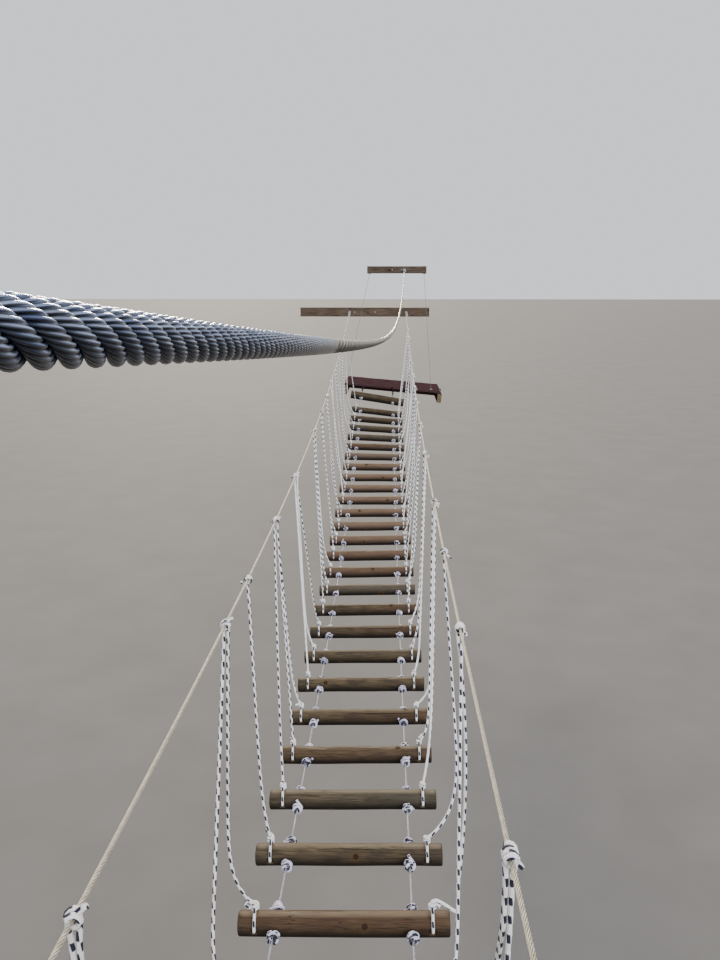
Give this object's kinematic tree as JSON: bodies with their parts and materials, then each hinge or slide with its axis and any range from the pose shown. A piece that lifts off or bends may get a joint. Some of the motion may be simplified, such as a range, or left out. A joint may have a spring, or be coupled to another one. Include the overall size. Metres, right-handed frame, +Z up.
{
  "type": "rope suspension footbridge",
  "caption": "Rope suspension footbridge of round timber treads on steel cables, with cable handrails, rope hangers, an overhead safety cable and a landing at each end.",
  "frame": {"origin": "centre of the treads' line on the flat back face of the near landing's frame, half way up that timber", "axes": "+Y along the bridge from the near tree to the far tree, +X to the right of a person who walks that way, +Z up"},
  "size_m": [2.48, 15.4, 2.7959],
  "materials": {
    "round_pine": "weathered peeled pine pole, brown with grey tops, checked and knotty",
    "sawn_pine": "rough sawn reddish brown timber, weathered",
    "galvanised_wire": "stranded galvanised wire rope, dull blue grey with bright crests",
    "handrail_wire": "stranded wire rope, dulled to a warm grey tan",
    "zinc_steel": "zinc plated forged steel, dull",
    "hanger_rope": "braided off-white rope with dark blue flecks"
  },
  "bodies": {
    "root": {"tread_01": "round_pine", "tread_02": "round_pine", "tread_03": "round_pine", "tread_04": "round_pine", "tread_05": "round_pine", "tread_06": "round_pine", "tread_07": "round_pine", "tread_08": "round_pine", "tread_09": "round_pine", "tread_10": "round_pine", "tread_11": "round_pine", "tread_12": "round_pine", "tread_13": "round_pine", "tread_14": "round_pine", "tread_15": "round_pine", "tread_16": "round_pine", "tread_17": "round_pine", "tread_18": "round_pine", "tread_19": "round_pine", "tread_20": "round_pine", "tread_21": "round_pine", "tread_22": "round_pine", "tread_23": "round_pine", "tread_24": "round_pine", "tread_25": "round_pine", "tread_26": "round_pine", "tread_27": "round_pine", "tread_28": "round_pine", "tread_29": "round_pine", "tread_30": "round_pine", "near_edge_log": "round_pine", "far_edge_log": "round_pine", "near_landing_frame": "sawn_pine", "near_landing_boards": "sawn_pine", "near_handrail_beam": "sawn_pine", "near_safety_beam": "sawn_pine", "far_landing_frame": "sawn_pine", "far_landing_boards": "sawn_pine", "far_handrail_beam": "sawn_pine", "far_safety_beam": "sawn_pine", "near_eye_bolt_deck_left": "zinc_steel", "near_eye_bolt_deck_right": "zinc_steel", "near_eye_bolt_handrail_left": "zinc_steel", "near_eye_bolt_handrail_right": "zinc_steel", "near_eye_bolt_safety": "zinc_steel", "far_eye_bolt_deck_left": "zinc_steel", "far_eye_bolt_deck_right": "zinc_steel", "far_eye_bolt_handrail_left": "zinc_steel", "far_eye_bolt_handrail_right": "zinc_steel", "far_eye_bolt_safety": "zinc_steel", "near_stay_left": "galvanised_wire", "near_stay_right": "galvanised_wire", "far_stay_left": "galvanised_wire", "far_stay_right": "galvanised_wire", "deck_cable_left": "galvanised_wire", "deck_cable_right": "galvanised_wire", "safety_cable": "galvanised_wire", "handrail_left": "handrail_wire", "handrail_right": "handrail_wire"}
  },
  "joints": []
}
